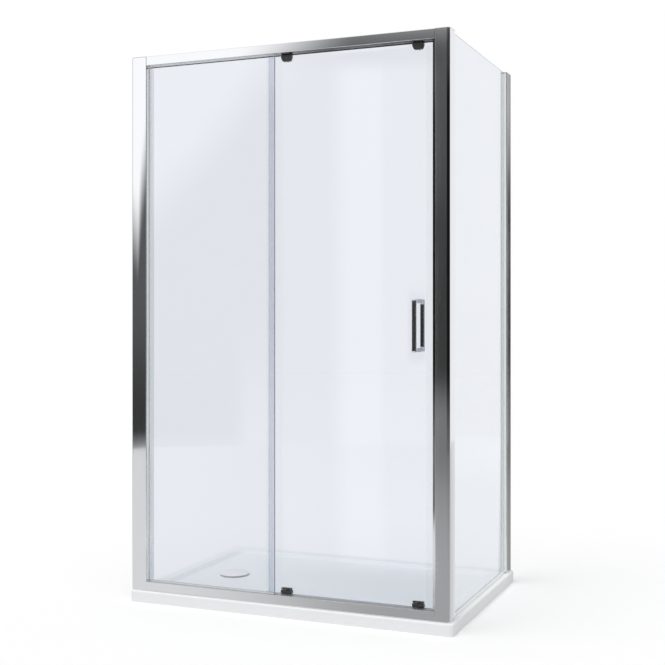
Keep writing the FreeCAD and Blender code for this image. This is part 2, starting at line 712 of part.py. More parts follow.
# The right end is coped around the closing jamb's bevelled edge
def rail(place_at, lip):
    length = X_CLOSE + COPE_SHARE * CLOSING_BEVEL_RUN - X_LEFT
    body = extrusion(rail_points(lip), rail_hollows(), place_at(X_LEFT), Vector(length, 0, 0))
    ports = [closing_envelope()]
    for y, z in port_spots():
        for x0, x1 in ((X_LEFT - 1, X_LEFT + SCREW_LENGTH), (X_CLOSE - SCREW_LENGTH, X_CLOSE + 1)):
            ports.append(rod_x(SCREW_R + SCREW_CLEARANCE, x0, x1, y, z))
    return body.cut(ports)


def infill_strips():
    c = INFILL_CLEARANCE
    x0 = X_FIXED_EDGE + GASKET_FLOOR
    section = rectangle(GROOVE_START + c, GROOVE_END - c, RAIL_HEIGHT - INFILL_T, RAIL_HEIGHT)
    along = Vector(X_CLOSE - x0, 0, 0)
    return group([extrusion(section, [], place(x0), along) for place in (low_rail, high_rail)])


# Panes
def pane(x0, x1, u0, z0, z1, holes):
    body = box(x0, x1, Y_FRONT + u0, Y_FRONT + u0 + GLASS_T, z0, z1)
    upright = [e for e in body.Edges if e.BoundBox.ZLength > 1]
    body = body.makeFillet(GLASS_EDGE_R, upright)
    cuts = [rod_y(GLASS_HOLE_R, u0 - 1, u0 + GLASS_T + 1, x, z) for x, z in holes]
    return body.cut(cuts) if cuts else body


def fixed_glass():
    x0 = X_LEFT - GROOVE_DEPTH + GASKET_FLOOR
    return pane(x0, X_FIXED_EDGE, FIXED_PANE_SETBACK, Z_LOW + PANE_EDGE, Z_TOP - PANE_EDGE, [])


def channel_points(depth, floor, wall, slot):
    width = slot + 2 * wall
    return [
        (0, 0), (width, 0), (width, depth), (width - wall, depth),
        (width - wall, floor), (wall, floor), (wall, depth), (0, depth),
    ]


def fixed_glass_gaskets():
    depth = RAIL_HEIGHT - GROOVE_FLOOR + GASKET_PROUD
    channel = channel_points(depth, GASKET_FLOOR, GASKET_T, GLASS_T)
    shape = [(GROOVE_START + a, GROOVE_FLOOR + b) for a, b in channel]
    x0 = X_LEFT + 2 * GASKET_PROUD
    along = Vector(X_FIXED_EDGE - x0, 0, 0)
    level = [extrusion(shape, [], place(x0), along) for place in (low_rail, high_rail)]
    channel = channel_points(GROOVE_DEPTH + GASKET_PROUD, GASKET_FLOOR, GASKET_T, GLASS_T)
    base = X_LEFT - GROOVE_DEPTH
    shape = [(base + b, GROOVE_START + a) for a, b in channel]
    z0 = Z_LOW + PANE_EDGE
    upright = extrusion(shape, [], front_upright(z0), Vector(0, 0, FRAME_HEIGHT - 2 * PANE_EDGE))
    return group(level + [upright])


Z_SIDE_LOW = Z_LOW + SILL_FLOOR + SILL_CLEARANCE
Z_SIDE_TOP = Z_TOP - SIDE_PANE_TOP_GAP
Y_SIDE_FRONT = Y_POST_GROOVE + GASKET_FLOOR
Y_SIDE_BACK = Y_SIDE_HEAD + GROOVE_DEPTH - GASKET_FLOOR


def side_glass():
    body = box(X_SIDE_PANE, X_SIDE_PANE + GLASS_T, Y_SIDE_FRONT, Y_SIDE_BACK, Z_SIDE_LOW, Z_SIDE_TOP)
    top = [e for e in level_edges(body, Z_SIDE_TOP) if e.BoundBox.YLength > 1]
    return body.makeFillet(GLASS_EDGE_R, top)


# The rear gasket has a flange on each lip that covers the jamb's edge beside the pane
def side_glass_gaskets():
    depth = GROOVE_DEPTH + GASKET_PROUD
    channel = channel_points(depth, GASKET_FLOOR, GASKET_T, GLASS_T)
    x0 = X_SIDE_PANE - GASKET_T
    x1 = x0 + GROOVE
    z1 = Z_SIDE_TOP - SIDE_PANE_TOP_GAP
    along = Vector(0, 0, z1 - Z_SIDE_LOW)
    front = [(x0 + a, Y_POST_GROOVE + b) for a, b in channel]
    back = [(x0 + a, Y_SIDE_HEAD + GROOVE_DEPTH - b) for a, b in channel]
    front, back = [extrusion(s, [], lambda p: Vector(p.x, p.y, Z_SIDE_LOW), along) for s in (front, back)]
    flange0 = X_OUT - SIDE_PROFILE_WIDTH + LIP_R
    flange1 = X_OUT - JAMB_CROWN - EDGE_R
    y0 = Y_SIDE_HEAD - GASKET_PROUD
    flanges = [box(a, b, y0, Y_SIDE_HEAD, Z_SIDE_LOW, z1) for a, b in ((flange0, x0), (x1, flange1))]
    return group([front, joined([back] + flanges)])


def side_sill_seal():
    slot = GLASS_T + 2 * SILL_CLEARANCE
    wall = GASKET_T - SILL_CLEARANCE
    x0 = X_SIDE_PANE - GASKET_T
    y0 = Y_POST_GROOVE + GROOVE_DEPTH + 2 * GASKET_PROUD
    y1 = Y_SIDE_HEAD - 2 * GASKET_PROUD
    channel = [(x0 + a, Z_LOW + b) for a, b in channel_points(SILL_HEIGHT, SILL_FLOOR, wall, slot)]
    return extrusion(channel, [], lambda p: Vector(p.x, y0, p.y), Vector(0, y1 - y0, 0))


# Door leaf
DOOR_LOW = Z_LOW + DOOR_EDGE_GAP
DOOR_TOP = Z_TOP - DOOR_EDGE_GAP


def roller_spots():
    tops = [(x, Z_TOP - TOP_BOLT) for x in X_ROLLERS]
    lows = [(x, Z_LOW + LOW_BOLT) for x in X_ROLLERS]
    return tops + lows


def handle_spots():
    return [(X_HANDLE, z) for z in STUD_HEIGHTS]


def sliding_glass():
    return pane(X_TRAIL, X_LEAD, DOOR_SETBACK, DOOR_LOW, DOOR_TOP, roller_spots() + handle_spots())


def door_leading_seal():
    u0 = DOOR_SETBACK - SEAL_T
    u1 = DOOR_BACK + SEAL_T
    c = SEAL_CLEARANCE
    x0 = X_LEAD - LEADING_SEAL_REACH
    x1 = X_LEAD + LEADING_SEAL_WEB
    nose = x1 + LEADING_NOSE_R
    middle = (u0 + u1) / 2
    points = [
        (x0, u0), (x1, u0), (nose, middle, "via"), (x1, u1), (x0, u1), (x0, DOOR_BACK + c),
        (X_LEAD + c, DOOR_BACK + c), (X_LEAD + c, DOOR_SETBACK - c), (x0, DOOR_SETBACK - c),
    ]
    body = extrusion(points, [], front_upright(DOOR_LOW), Vector(0, 0, DOOR_TOP - DOOR_LOW))
    centre = Vector(x1, Y_FRONT + middle, DOOR_LOW)
    return body.cut(rod(LEADING_BULB_R, centre, centre + Vector(0, 0, DOOR_TOP - DOOR_LOW)))


def door_trailing_seal():
    u0 = DOOR_SETBACK - SEAL_T
    u1 = DOOR_BACK + SEAL_T
    c = SEAL_CLEARANCE
    x0 = X_TRAIL - TRAILING_SEAL_NOSE
    x1 = X_TRAIL + TRAILING_SEAL_REACH
    points = [
        (x0, u0, LIP_R), (x1, u0), (x1, DOOR_SETBACK - c), (X_TRAIL - c, DOOR_SETBACK - c),
        (X_TRAIL - c, DOOR_BACK + c), (x1, DOOR_BACK + c), (x1, u1), (x0, u1, LIP_R),
    ]
    clip = extrusion(points, [], front_upright(DOOR_LOW), Vector(0, 0, DOOR_TOP - DOOR_LOW))
    tip = FIXED_PANE_SETBACK + GLASS_T + FIN_CLEARANCE
    x_fin = X_TRAIL + FIN_T
    root = u0 + SEAL_T / 2
    z0 = Z_LOW + FIN_END_GAP
    z1 = Z_TOP - FIN_END_GAP
    fin = box(x_fin, x_fin + FIN_T, Y_FRONT + tip, Y_FRONT + root, z0, z1)
    return joined([clip, fin])


def closing_buffer():
    floor = X_CLOSE + CLOSING_SLOT_DEPTH
    y = Y_FRONT + DOOR_SETBACK
    return box(floor - BUFFER_T, floor, y, y + GLASS_T, DOOR_LOW, DOOR_TOP)


# Handles: depth from the glass face outwards, then height
def handle(face_u, outwards):
    half = HANDLE_LENGTH / 2
    inner = half - HANDLE_ARM
    grip = HANDLE_REACH - HANDLE_GRIP_T
    start = PAD_T
    points = [
        (start, -half), (HANDLE_REACH, -half, HANDLE_OUTER_R),
        (HANDLE_REACH, half, HANDLE_OUTER_R), (start, half), (start, inner),
        (grip, inner, HANDLE_INNER_R), (grip, -inner, HANDLE_INNER_R), (start, -inner),
    ]
    x0 = X_HANDLE - HANDLE_WIDTH / 2

    def place(p):
        return Vector(x0, Y_FRONT + face_u + outwards * p.x, Z_HANDLE + p.y)

    body = extrusion(points, [], place, Vector(HANDLE_WIDTH, 0, 0))
    rims = [e for e in body.Edges if e.BoundBox.XLength < 1e-4]
    rims = [e for e in rims if abs(e.CenterOfMass.y - Y_FRONT - face_u) > 2 * PAD_T]
    body = body.makeFillet(HANDLE_EDGE_R, rims)
    end = face_u + outwards * (STUD_REACH + 1)
    sockets = [rod_y(BOLT_R + BOLT_CLEARANCE, face_u, end, x, z) for x, z in handle_spots()]
    return body.cut(sockets)


def handle_studs():
    u0 = DOOR_SETBACK - STUD_REACH
    u1 = DOOR_BACK + STUD_REACH
    return group([rod_y(BOLT_R, u0, u1, x, z) for x, z in handle_spots()])


def pads(radius, spots):
    solids = []
    for x, z in spots:
        for u in (DOOR_SETBACK - PAD_T, DOOR_BACK):
            hole = rod_y(BOLT_R + BOLT_CLEARANCE, u, u + PAD_T, x, z)
            solids.append(rod_y(radius, u, u + PAD_T, x, z).cut(hole))
    return group(solids)


def bushes(spots):
    solids = []
    for x, z in spots:
        sleeve = rod_y(GLASS_HOLE_R - BUSH_CLEARANCE, DOOR_SETBACK, DOOR_BACK, x, z)
        solids.append(sleeve.cut(rod_y(BOLT_R + BOLT_CLEARANCE, DOOR_SETBACK, DOOR_BACK, x, z)))
    return group(solids)


# Top rollers
def top_block_points():
    half = TOP_BLOCK_WIDTH / 2
    foot = TOP_BLOCK_FOOT / 2
    shoulder = TOP_BLOCK_END - TOP_BLOCK_TAPER
    return [
        (-half, BLOCK_START, LIP_R), (half, BLOCK_START, LIP_R), (half, shoulder, EDGE_R),
        (foot, TOP_BLOCK_END, EDGE_R), (-foot, TOP_BLOCK_END, EDGE_R), (-half, shoulder, EDGE_R),
    ]


def front_edges(shape, u):
    y = Y_FRONT + u
    return [e for e in shape.Edges if abs(e.BoundBox.YMin - y) < 1e-4 and abs(e.BoundBox.YMax - y) < 1e-4]


def bolt_seat(x, z):
    floor = BLOCK_FRONT + BOLT_HEAD_SINK + BOLT_HEAD_T
    head = rod_y(BOLT_HEAD_R + BOLT_CLEARANCE, BLOCK_FRONT - 1, floor, x, z)
    shank = rod_y(BOLT_R + BOLT_CLEARANCE, BLOCK_FRONT, DOOR_SETBACK, x, z)
    return head.fuse(shank)


def top_bracket(x):
    half = TOP_PLATE_WIDTH / 2
    depth = Vector(0, PLATE_BACK - BLOCK_FRONT, 0)
    block = extrusion(top_block_points(), [], high_face(x, BLOCK_FRONT), depth)
    block = block.makeFillet(BLOCK_EDGE_R, front_edges(block, BLOCK_FRONT))
    top = TOP_AXLE - TOP_PLATE_MARGIN
    plate_points = [
        (-half, top, TOP_PLATE_MARGIN), (half, top, TOP_PLATE_MARGIN),
        (half, BLOCK_START, LIP_R), (TOP_BLOCK_FOOT / 2, BLOCK_START + PLATE_T),
        (-TOP_BLOCK_FOOT / 2, BLOCK_START + PLATE_T), (-half, BLOCK_START, LIP_R),
    ]
    plate = extrusion(plate_points, [], high_face(x, PLATE_FRONT), Vector(0, PLATE_T, 0))
    body = joined([block, plate])
    z = Z_TOP - TOP_AXLE
    pins = [rod_y(AXLE_R + AXLE_SEAT_CLEARANCE, PLATE_FRONT - 1, PLATE_BACK + 1, xw, z)
            for xw in top_wheel_lines(x)]
    return body.cut(pins + [bolt_seat(x, Z_TOP - TOP_BOLT)])


def top_wheel_lines(x):
    return (x - TOP_WHEEL_SPACING / 2, x + TOP_WHEEL_SPACING / 2)


def wheel(x, z, outer, tread):
    body = rod_y(outer, WHEEL_FRONT, WHEEL_BACK, x, z)
    half = (RIDGE_WIDTH + WHEEL_GROOVE_PLAY) / 2
    groove = rod_y(outer + 1, RIDGE_MIDDLE - half, RIDGE_MIDDLE + half, x, z)
    groove = groove.cut(rod_y(tread, RIDGE_MIDDLE - half - 1, RIDGE_MIDDLE + half + 1, x, z))
    bore = rod_y(AXLE_R + AXLE_RUNNING_CLEARANCE, WHEEL_FRONT - 1, WHEEL_BACK + 1, x, z)
    return body.cut([groove, bore])


def axle(x, z, end_u):
    head_end = WHEEL_FRONT - AXLE_END_PLAY
    head = rod_y(AXLE_HEAD_R, head_end - AXLE_HEAD_T, head_end, x, z)
    return joined([head, rod_y(AXLE_R, head_end - AXLE_HEAD_T, end_u, x, z)])


def top_axles():
    z = Z_TOP - TOP_AXLE
    return group([axle(xw, z, PLATE_BACK) for x in X_ROLLERS for xw in top_wheel_lines(x)])


def hexagon(x, z, u0, u1):
    turns = [k * math.pi / 3 for k in range(6)]
    points = [(BOLT_DRIVE_R * math.cos(t), BOLT_DRIVE_R * math.sin(t)) for t in turns]
    return extrusion(points, [], lambda p: Vector(x + p.x, Y_FRONT + u0, z + p.y), Vector(0, u1 - u0, 0))


def roller_bolts():
    solids = []
    start = BLOCK_FRONT + BOLT_HEAD_SINK
    for x, z in roller_spots():
        head = rod_y(BOLT_HEAD_R, start, start + BOLT_HEAD_T, x, z)
        drive = hexagon(x, z, start - 1, start + BOLT_HEAD_T / 2)
        shank = rod_y(BOLT_R, start + BOLT_HEAD_T / 2, DOOR_BACK + PAD_T + CAP_SOCKET, x, z)
        solids.append(joined([head.cut(drive), shank]))
    return group(solids)


def roller_caps():
    solids = []
    start = DOOR_BACK + PAD_T
    for x, z in roller_spots():
        body = rod_y(CAP_R, start, start + CAP_T, x, z)
        body = body.makeFillet(EDGE_R, front_edges(body, start + CAP_T))
        socket = rod_y(BOLT_R + BOLT_CLEARANCE, start - 1, start + CAP_SOCKET + BOLT_CLEARANCE, x, z)
        solids.append(body.cut(socket))
    return group(solids)


# Bottom rollers with the press-down release
def spring_lines(x):
    return (x - SPRING_CENTRE, x + SPRING_CENTRE)


def leg_lines(x):
    return (x - LEG_CENTRE, x + LEG_CENTRE)


def low_housing(x):
    half = LOW_BLOCK_WIDTH / 2
    z0 = Z_LOW + BLOCK_START
    z1 = Z_LOW + LOW_BLOCK_END
    body = box(x - half, x + half, Y_FRONT + BLOCK_FRONT, Y_FRONT + PLATE_BACK, z0, z1)
    body = body.makeFillet(BLOCK_EDGE_R, front_edges(body, BLOCK_FRONT))
    reach = LEG_WIDTH / 2 + LEG_CLEARANCE
    y0 = Y_FRONT + LEG_FRONT - LEG_CLEARANCE
    y1 = Y_FRONT + PLATE_BACK + 1
    slots = [box(xl - reach, xl + reach, y0, y1, z0 - 1, z1 + 1) for xl in leg_lines(x)]
    y = Y_FRONT + SPRING_SETBACK
    pockets = [rod(SPRING_POCKET_R, Vector(xs, y, z0 + SPRING_FLOOR), Vector(xs, y, z1 + 1))
               for xs in spring_lines(x)]
    return body.cut(slots + pockets + [bolt_seat(x, Z_LOW + LOW_BOLT)])


def release_slider(x):
    z_button = Z_LOW + BUTTON_START
    z_axle = Z_LOW + LOW_AXLE
    y0 = Y_FRONT + LEG_FRONT
    y1 = Y_FRONT + LEG_BACK
    reach = LOW_BLOCK_WIDTH / 2 - BUTTON_INSET
    front = BLOCK_FRONT + BUTTON_INSET
    button = box(x - reach, x + reach, Y_FRONT + front, y1, z_button, z_button + BUTTON_T)
    button = button.makeFillet(LIP_R, front_edges(button, front))
    half = LEG_WIDTH / 2
    legs = [box(xl - half, xl + half, y0, y1, z_axle, z_button + BUTTON_T / 2) for xl in leg_lines(x)]
    span = LEG_CENTRE + half
    carrier = box(x - span, x + span, y0, y1, z_axle - CARRIER_RISE, z_axle + CARRIER_RISE)
    bore = rod_y(AXLE_R + AXLE_SEAT_CLEARANCE, LEG_FRONT - 1, LEG_BACK + 1, x, z_axle)
    return joined([button, carrier] + legs).cut(bore)


# Least gap from the wire to itself, measured between points half a turn or more apart
def least_gap(points):
    apart = 8
    pairs = [(a, b) for i, a in enumerate(points) for b in points[i + apart:]]
    return min((a - b).Length for a, b in pairs) - 2 * SPRING_WIRE_R


# Wound springs, a quarter turn at a time
def coil(x, y, z0, z1):
    steps = SPRING_TURNS * 4
    rise = (z1 - z0 - 2 * SPRING_WIRE_R) / steps

    def spot(quarter):
        turn = quarter * math.pi / 2
        height = z0 + SPRING_WIRE_R + quarter * rise
        return Vector(x + SPRING_R * math.cos(turn), y + SPRING_R * math.sin(turn), height)

    path = Part.Wire([Part.Arc(spot(k), spot(k + 0.5), spot(k + 1)).toShape() for k in range(steps)])
    along = path.Edges[0].tangentAt(path.Edges[0].FirstParameter)
    ends = Part.Wire([Part.Circle(spot(0), along, SPRING_WIRE_R).toShape()])
    trace = [spot(k / 4) for k in range(4 * steps + 1)]
    print("least gap between spring turns: %.2f mm" % least_gap(trace))
    return path.makePipeShell([ends], True, False)


def release_springs(x):
    y = Y_FRONT + SPRING_SETBACK
    z0 = Z_LOW + BLOCK_START + SPRING_FLOOR + SPRING_END_GAP
    z1 = Z_LOW + BUTTON_START - SPRING_END_GAP
    return group([coil(xs, y, z0, z1) for xs in spring_lines(x)])


def track_stops():
    c = INFILL_CLEARANCE
    reach = TOP_WHEEL_SPACING / 2 + TOP_WHEEL_R + TRACK_STOP_GAP
    open_face = X_ROLLERS[0] - reach - DOOR_TRAVEL
    shut_face = X_ROLLERS[1] + reach
    half = RIDGE_WIDTH / 2 + c
    under = RAIL_HEIGHT - LEDGE_T - c
    top = TOP_AXLE - TOP_PLATE_MARGIN
    points = [
        (WEB_END + c, top, LIP_R), (LEDGE_END - c, top, LIP_R), (LEDGE_END - c, under),
        (RIDGE_MIDDLE + half, under), (RIDGE_MIDDLE + half, RIDGE_CREST - c),
        (RIDGE_MIDDLE - half, RIDGE_CREST - c), (RIDGE_MIDDLE - half, under), (WEB_END + c, under),
    ]
    along = Vector(TRACK_STOP_LENGTH, 0, 0)
    starts = (open_face - TRACK_STOP_LENGTH, shut_face)
    return group([extrusion(points, [], high_rail(x), along) for x in starts])


# Screws and their caps
def screw_x(x_face, inwards, length, y, z):
    head = rod_x(SCREW_HEAD_R, x_face - inwards * SCREW_HEAD_T, x_face, y, z)
    shank = rod_x(SCREW_R, x_face - inwards * SCREW_HEAD_T / 2, x_face + inwards * length, y, z)
    return joined([head, shank])


def frame_corner_screws():
    length = SCREW_LENGTH - WALL_T
    left = [screw_x(X_LEFT - WALL_T, 1, length, y, z) for y, z in port_spots()]
    right = [screw_x(closing_seat(), -1, length, y, z) for y, z in port_spots()]
    return group(left + right)


def corner_post_screws():
    y = Y_FRONT + POST_SCREW_SETBACK
    x = X_POST - WALL_T
    return group([screw_x(x, 1, SHORT_SCREW_LENGTH, y, Z_LOW + h) for h in POST_SCREW_HEIGHTS])


def jamb_clamp_screws():
    solids = []
    for h in CLAMP_HEIGHTS:
        for clamp in (left_clamp_rod, side_clamp_rod):
            head = clamp(SCREW_HEAD_R, -SCREW_HEAD_T, 0, h)
            solids.append(joined([head, clamp(SCREW_R, -SCREW_HEAD_T / 2, SHORT_SCREW_LENGTH, h)]))
    return group(solids)


def clamp_caps():
    solids = []
    for h in CLAMP_HEIGHTS:
        for clamp in (left_clamp_rod, side_clamp_rod):
            room = clamp(SCREW_HEAD_R + SCREW_CAP_GAP, -SCREW_HEAD_T - SCREW_CAP_GAP, 0, h)
            solids.append(clamp(SCREW_CAP_R, -SCREW_CAP_T, 0, h).cut(room))
    return group(solids)


def access_caps():
    y = Y_FRONT + POST_SCREW_SETBACK
    solids = []
    for h in POST_SCREW_HEIGHTS:
        z = Z_LOW + h
        top = X_CLOSE - WALL_T / 2
        head = rod_x(SCREW_CAP_R, top, X_CLOSE, y, z)
        stem = rod_x(ACCESS_HOLE_R - SCREW_CLEARANCE, top, X_CLOSE + WALL_T, y, z)
        solids.append(joined([head, stem]))
    return group(solids)


def build():
    os.makedirs("parts", exist_ok=True)
    export("shower_tray", shower_tray())
    export("waste_seal", waste_seal())
    export("waste_flange", waste_flange())
    export("waste_cover", waste_cover())
    export("left_wall_profile", left_wall_profile())
    export("left_jamb", left_jamb())
    export("right_jamb", right_jamb())
    export("corner_post", corner_post())
    export("side_wall_profile", side_wall_profile())
    export("side_jamb", side_jamb())
    export("left_end_cap", left_end_cap())
    export("corner_end_cap", corner_end_cap())
    export("side_end_cap", side_end_cap())
    export("bottom_rail", rail(low_rail, LOW_LIP_HEIGHT))
    export("top_rail", rail(high_rail, RAIL_HEIGHT))
    export("groove_infill_strips", infill_strips())
    export("fixed_glass", fixed_glass())
    export("fixed_glass_gaskets", fixed_glass_gaskets())
    export("side_glass", side_glass())
    export("side_glass_gaskets", side_glass_gaskets())
    export("side_sill_seal", side_sill_seal())
    export("closing_buffer", closing_buffer())
    export("track_stops", track_stops())
    export("frame_corner_screws", frame_corner_screws())
    export("corner_post_screws", corner_post_screws())
    export("access_hole_caps", access_caps())
    export("jamb_clamp_screws", jamb_clamp_screws())
    export("jamb_clamp_caps", clamp_caps())
    export("sliding_glass", sliding_glass())
    export("door_leading_seal", door_leading_seal())
    export("door_trailing_seal", door_trailing_seal())
    export("outer_handle", handle(DOOR_SETBACK, -1))
    export("inner_handle", handle(DOOR_BACK, 1))
    export("handle_studs", handle_studs())
    export("handle_pads", pads(HANDLE_PAD_R, handle_spots()))
    export("handle_bushes", bushes(handle_spots()))
    export("roller_bolts", roller_bolts())
    export("roller_caps", roller_caps())
    export("roller_pads", pads(PAD_R, roller_spots()))
    export("roller_bushes", bushes(roller_spots()))
    export("top_axles", top_axles())
    for side, x in zip(("left", "right"), X_ROLLERS):
        export("top_%s_bracket" % side, top_bracket(x))
        for name, xw in zip(("a", "b"), top_wheel_lines(x)):
            export("top_%s_wheel_%s" % (side, name), wheel(xw, Z_TOP - TOP_AXLE, TOP_WHEEL_R, TOP_TREAD_R))
        export("bottom_%s_housing" % side, low_housing(x))
        export("bottom_%s_release" % side, release_slider(x))
        export("bottom_%s_springs" % side, release_springs(x))
        export("bottom_%s_axle" % side, axle(x, Z_LOW + LOW_AXLE, LEG_BACK))
        export("bottom_%s_wheel" % side, wheel(x, Z_LOW + LOW_AXLE, LOW_WHEEL_R, LOW_TREAD_R))


build()
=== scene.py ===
import json
import math

import bpy
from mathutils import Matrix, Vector


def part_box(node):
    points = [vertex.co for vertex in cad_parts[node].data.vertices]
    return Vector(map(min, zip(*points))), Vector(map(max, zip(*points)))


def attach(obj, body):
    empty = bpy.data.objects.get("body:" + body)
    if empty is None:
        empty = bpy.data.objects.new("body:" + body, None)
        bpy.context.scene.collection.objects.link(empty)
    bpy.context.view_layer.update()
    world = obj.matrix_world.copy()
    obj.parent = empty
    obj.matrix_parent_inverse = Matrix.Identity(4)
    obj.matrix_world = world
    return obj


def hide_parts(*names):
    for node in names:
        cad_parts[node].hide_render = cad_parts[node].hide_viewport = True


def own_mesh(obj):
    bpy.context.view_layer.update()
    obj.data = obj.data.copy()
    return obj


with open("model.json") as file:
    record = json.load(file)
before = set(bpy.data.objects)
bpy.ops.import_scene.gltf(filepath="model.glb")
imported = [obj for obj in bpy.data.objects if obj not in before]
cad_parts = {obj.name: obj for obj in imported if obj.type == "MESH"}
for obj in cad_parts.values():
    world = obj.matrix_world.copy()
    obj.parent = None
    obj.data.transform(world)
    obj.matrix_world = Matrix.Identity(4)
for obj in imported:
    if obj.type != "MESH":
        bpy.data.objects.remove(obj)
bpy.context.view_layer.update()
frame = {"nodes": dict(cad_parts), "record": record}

# Camera of the photograph, level and a little to the right
CAMERA_AT = Vector((1.634, -3.767, 1.0367))
CAMERA_TURN = 21.718
CAMERA_LENS = 60.02
CAMERA_SENSOR = 36.0
CAMERA_SHIFT = (-0.0451, -0.0332)


def photo_camera():
    lens = bpy.data.cameras.new("photo_camera")
    lens.sensor_width = CAMERA_SENSOR
    lens.lens = CAMERA_LENS
    lens.shift_x, lens.shift_y = CAMERA_SHIFT
    camera = bpy.data.objects.new("photo_camera", lens)
    camera.location = CAMERA_AT
    camera.rotation_euler = (math.radians(90), 0, math.radians(CAMERA_TURN))
    bpy.context.scene.collection.objects.link(camera)
    bpy.context.scene.camera = camera


# Small helpers for node trees
def fill(tree, socket, value):
    if isinstance(value, bpy.types.NodeSocket):
        tree.links.new(value, socket)
    else:
        socket.default_value = value


class Tree:
    def __init__(self, owner):
        owner.use_nodes = True
        self.tree = owner.node_tree
        self.tree.nodes.clear()

    def add(self, kind, **values):
        node = self.tree.nodes.new(kind)
        for name, value in values.items():
            setattr(node, name, value)
        return node

    def set(self, node, **inputs):
        for name, value in inputs.items():
            fill(self.tree, node.inputs[name.replace("_", " ")], value)
        return node

    def link(self, output, socket):
        self.tree.links.new(output, socket)

    def math(self, operation, *values):
        node = self.add("ShaderNodeMath", operation=operation)
        for socket, value in zip(node.inputs, values):
            fill(self.tree, socket, value)
        return node.outputs[0]

    def place(self, scale):
        coordinate = self.add("ShaderNodeTexCoord")
        mapping = self.add("ShaderNodeMapping")
        self.link(coordinate.outputs["Object"], mapping.inputs["Vector"])
        mapping.inputs["Scale"].default_value = scale
        return mapping.outputs["Vector"]

    def height(self):
        split = self.add("ShaderNodeSeparateXYZ")
        self.link(self.place(even(1.0)), split.inputs[0])
        return split.outputs["Z"]

    def noise(self, scale, detail):
        node = self.add("ShaderNodeTexNoise")
        self.set(node, Vector=self.place(scale), Scale=1.0, Detail=detail)
        return node.outputs["Fac"]

    def ranged(self, value, low, high):
        node = self.add("ShaderNodeMapRange")
        self.set(node, Value=value, To_Min=low, To_Max=high)
        return node.outputs["Result"]

    def toned(self, value, dark, light):
        ramp = self.add("ShaderNodeValToRGB")
        ramp.color_ramp.elements[0].color = (*dark, 1)
        ramp.color_ramp.elements[1].color = (*light, 1)
        self.link(value, ramp.inputs["Fac"])
        return ramp.outputs["Color"]

    def bump(self, height, strength, distance):
        node = self.add("ShaderNodeBump")
        self.set(node, Height=height, Strength=strength, Distance=distance)
        return node.outputs["Normal"]

    def principled(self, **inputs):
        return self.set(self.add("ShaderNodeBsdfPrincipled"), **inputs)

    def surface(self, shader):
        output = self.add("ShaderNodeOutputMaterial")
        self.link(shader, output.inputs["Surface"])
        return output


def even(value):
    return (value, value, value)


# Bright metal: drawn lines along the profile and slow patches in its polish
LINE_DETAIL = 2.0
LINE_BUMP = 0.02
LINE_DEPTH = 0.0002
PATCH_SCALE = even(3.0)
# The lower rail's level tread is brushed, its upright faces are bright
RAIL_TREAD = 0.072
TREAD_BAND = 0.0006
TREAD_ROUGHNESS = 0.40


def bright_metal(name, grain, tint, roughness, tread=None):
    material = bpy.data.materials.new(name)
    tree = Tree(material)
    lines = tree.noise(grain, LINE_DETAIL)
    patches = tree.noise(PATCH_SCALE, LINE_DETAIL)
    rough = tree.math("ADD", tree.ranged(lines, 0.0, roughness), tree.ranged(patches, 0.0, roughness))
    if tread:
        brushed = tree.math("COMPARE", tree.height(), tread, TREAD_BAND)
        rough = tree.math("ADD", rough, tree.math("MULTIPLY", brushed, TREAD_ROUGHNESS))
    shader = tree.principled(
        Base_Color=(*tint, 1), Metallic=1.0, Roughness=rough, Normal=tree.bump(lines, LINE_BUMP, LINE_DEPTH),
    )
    tree.surface(shader.outputs["BSDF"])
    return material


# Glass with a thin uneven film. Lamp light and scattered light pass it, so what stands behind it is lit
FILM_SCALE = (4.0, 4.0, 1.5)
FILM_DETAIL = 4.0
FILM_ROUGHNESS = 0.02
GLASS_SPECULAR = 0.3
PANE_IOR = 1.5
STRIP_IOR = 1.04


def clear_glass(name, tint, ior, lamp_tint):
    material = bpy.data.materials.new(name)
    tree = Tree(material)
    film = tree.noise(FILM_SCALE, FILM_DETAIL)
    glass = tree.principled(
        Base_Color=(*tint, 1), Roughness=tree.ranged(film, 0.0, FILM_ROUGHNESS), IOR=ior,
        Transmission_Weight=1.0, Specular_IOR_Level=GLASS_SPECULAR,
    )
    path = tree.add("ShaderNodeLightPath")
    shader = glass.outputs["BSDF"]
    for ray in ("Is Diffuse Ray", "Is Shadow Ray"):
        passing = tree.set(tree.add("ShaderNodeBsdfTransparent"), Color=(*lamp_tint, 1))
        mix = tree.add("ShaderNodeMixShader")
        tree.link(path.outputs[ray], mix.inputs[0])
        tree.link(shader, mix.inputs[1])
        tree.link(passing.outputs["BSDF"], mix.inputs[2])
        shader = mix.outputs["Shader"]
    return material, tree, tree.surface(shader)


def pane_glass(name, tint, lamp_tint, edge_tint, density):
    material, tree, output = clear_glass(name, tint, PANE_IOR, lamp_tint)
    absorb = tree.set(tree.add("ShaderNodeVolumeAbsorption"), Color=(*edge_tint, 1), Density=density)
    tree.link(absorb.outputs["Volume"], output.inputs["Volume"])
    return material


def clear_strip(name, tint, lamp_tint):
    return clear_glass(name, tint, STRIP_IOR, lamp_tint)[0]


# Moulded plastic, rubber and resin: fine specks in the gloss, slow clouds in the colour
SPECK_DETAIL = 3.0
SPECK_BUMP = 0.15
CLOUD_SCALE = even(9.0)
CLOUD_DETAIL = 2.0
ROUGHNESS_SPREAD = 0.15
# Height at which the release slider's dark button meets its pale legs
BUTTON_FOOT = 0.0872


